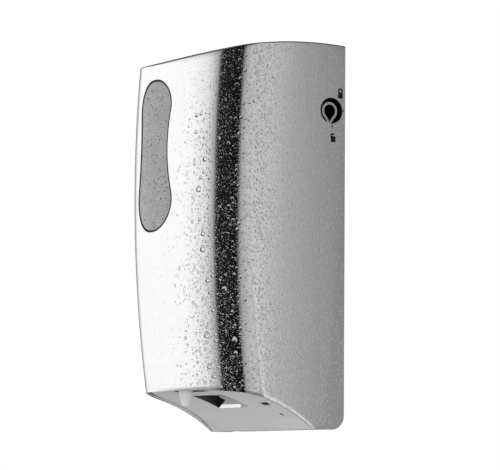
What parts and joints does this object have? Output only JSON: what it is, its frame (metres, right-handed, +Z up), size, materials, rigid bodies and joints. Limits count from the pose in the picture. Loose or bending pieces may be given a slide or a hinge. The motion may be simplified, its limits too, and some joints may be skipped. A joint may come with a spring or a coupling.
{
  "type": "wall-mounted automatic soap dispenser",
  "caption": "Wall-mounted touch-free soap dispenser with a polished swing-down cover, waisted level window, key lock, nozzle and sensor in a scooped underside.",
  "frame": {"origin": "on the wall face, at the middle of the four wall-screw holes", "axes": "+Z up, +Y into the wall, the front faces -Y, +X to the right seen from the front"},
  "size_m": [0.136, 0.1133, 0.2615],
  "materials": {
    "polished": "polished, wet with fine drops",
    "smoke_lens": "grey translucent, satin",
    "grey_plastic": "fine grain",
    "dark_plastic": "fine grain",
    "white_plastic": "smooth",
    "natural_plastic": "smooth, natural",
    "tank_plastic": "translucent, smooth",
    "steel": "bright",
    "brass": "machined",
    "rubber": "matt",
    "board": "lacquered board",
    "black_gloss": "smooth",
    "light": "clear red",
    "cell_wrap": "wrapped cell"
  },
  "bodies": {
    "chassis": {"wall_plate": "grey_plastic", "latch_keeper": "steel", "hinge_pins": "steel", "base_tray": "grey_plastic", "tray_screws": "steel", "nozzle_block": "dark_plastic", "nozzle": "white_plastic", "outlet_hose": "natural_plastic", "sensor_lens": "black_gloss", "sensor_board": "board", "ir_emitter": "black_gloss", "ir_receiver": "black_gloss", "status_light": "light", "switch_body": "dark_plastic", "gear_frame": "white_plastic", "frame_screws": "steel", "spacers": "brass", "motor": "steel", "motor_screws": "steel", "compound_pin": "steel", "pump_idler_pin": "steel", "pump_plate": "white_plastic", "pump_body": "white_plastic", "pump_front": "grey_plastic", "pump_screws": "steel", "inlet_ring": "rubber", "tank_shelf": "grey_plastic", "tank": "tank_plastic", "battery_box": "dark_plastic", "battery_cells": "cell_wrap", "battery_contacts": "steel", "door_pin_rod": "steel", "control_board": "board", "board_parts": "dark_plastic", "board_screws": "steel", "keeper_screws": "steel"},
    "cover": {"front_cover": "polished", "window_lens": "smoke_lens", "lock_housing": "dark_plastic"},
    "lock": {"lock_barrel": "steel", "lock_cam": "steel", "cam_screw": "steel"},
    "cap": {"filler_cap": "dark_plastic", "cap_seal": "rubber"},
    "door": {"battery_door": "grey_plastic"},
    "switch": {"power_switch": "dark_plastic"},
    "drive": {"drive_gear": "natural_plastic", "drive_shaft": "steel", "pump_drive_gear": "brass"},
    "compound": {"compound_gear": "natural_plastic"},
    "rotor": {"motor_pinion": "brass"},
    "idler": {"pump_idler_gear": "brass"}
  },
  "joints": [
    {"name": "cover_hinge", "type": "hinge", "parent": "chassis", "child": "cover", "pos_m": [0, -0.0105, -0.1205], "axis": [1, 0, 0], "range_deg": [0, 90]},
    {"name": "lock_turn", "type": "hinge", "parent": "cover", "child": "lock", "pos_m": [0.055, -0.0122, 0.0857], "axis": [1, 0, 0], "range_deg": [0, 90]},
    {"name": "cap_turn", "type": "hinge", "parent": "chassis", "child": "cap", "pos_m": [0, -0.045, 0.112], "axis": [0, 0, 1], "range_deg": [0, 90]},
    {"name": "battery_door", "type": "hinge", "parent": "chassis", "child": "door", "pos_m": [-0.03025, -0.0375, -0.06], "axis": [0, 0, 1], "range_deg": [0, 90]},
    {"name": "power_slide", "type": "slide", "parent": "chassis", "child": "switch", "axis": [1, 0, 0], "range_m": [0, 0.004]},
    {"name": "drive_spin", "type": "hinge", "parent": "chassis", "child": "drive", "pos_m": [0.009, -0.07, -0.07], "axis": [0, -1, 0], "continuous": true},
    {"name": "compound_spin", "type": "hinge", "parent": "chassis", "child": "compound", "pos_m": [0.035, -0.066, -0.07], "axis": [0, -1, 0], "continuous": true},
    {"name": "motor_spin", "type": "hinge", "parent": "chassis", "child": "rotor", "pos_m": [0.03083, -0.062, -0.04637], "axis": [0, -1, 0], "continuous": true},
    {"name": "idler_spin", "type": "hinge", "parent": "chassis", "child": "idler", "pos_m": [-0.009, -0.085, -0.07], "axis": [0, -1, 0], "continuous": true}
  ],
  "couplings": [
    {"joint": "compound_spin", "follows": "drive_spin", "ratio": -3.3333},
    {"joint": "motor_spin", "follows": "drive_spin", "ratio": 10},
    {"joint": "idler_spin", "follows": "drive_spin", "ratio": -1}
  ]
}
